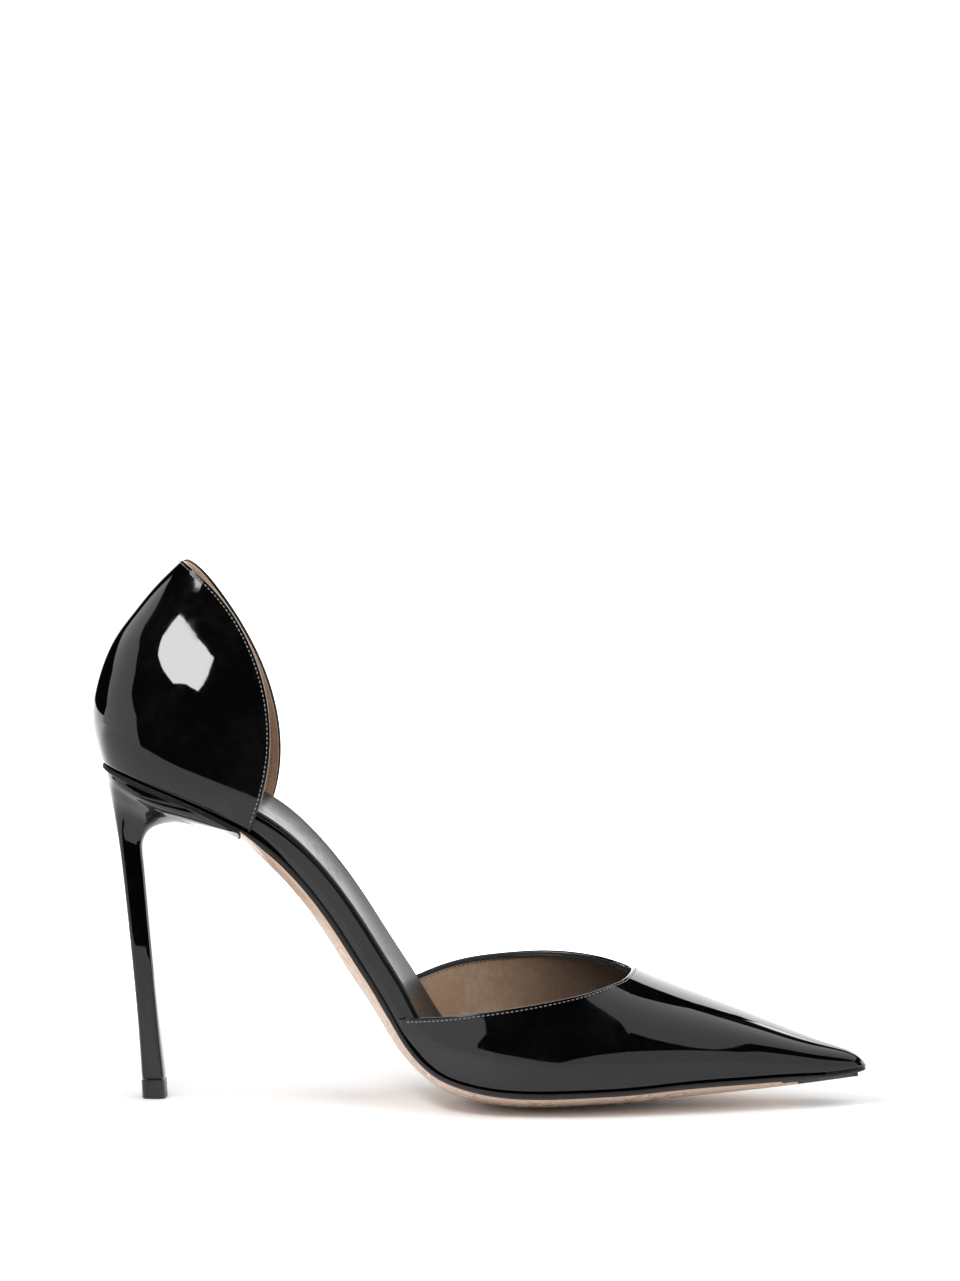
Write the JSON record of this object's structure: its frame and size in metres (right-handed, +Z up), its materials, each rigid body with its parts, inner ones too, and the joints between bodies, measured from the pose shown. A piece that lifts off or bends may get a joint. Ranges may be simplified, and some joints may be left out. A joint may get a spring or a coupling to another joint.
{
  "type": "heeled shoe",
  "caption": "Pointed court shoe with open sides: hollow toe shell and heel cup on an arched sole with a thin high heel, for wearing on the right foot.",
  "frame": {"origin": "on the floor, under the middle of the shoe's bounding box", "axes": "+X towards the toe, +Y towards the inner side of the foot, +Z up, standing on the heel tip and the forefoot"},
  "size_m": [0.2312, 0.0768, 0.162],
  "materials": {
    "upper_patent": "patent gloss",
    "board_patent": "patent gloss",
    "sock_leather": "smooth gloss",
    "sole_leather": "polished",
    "heel_cover": "patent gloss",
    "lift_plastic": "satin"
  },
  "bodies": {
    "root": {"vamp": "upper_patent", "quarter": "upper_patent", "insole_board": "board_patent", "sock": "sock_leather", "outsole": "sole_leather", "heel": "heel_cover", "top_lift": "lift_plastic"}
  },
  "joints": []
}
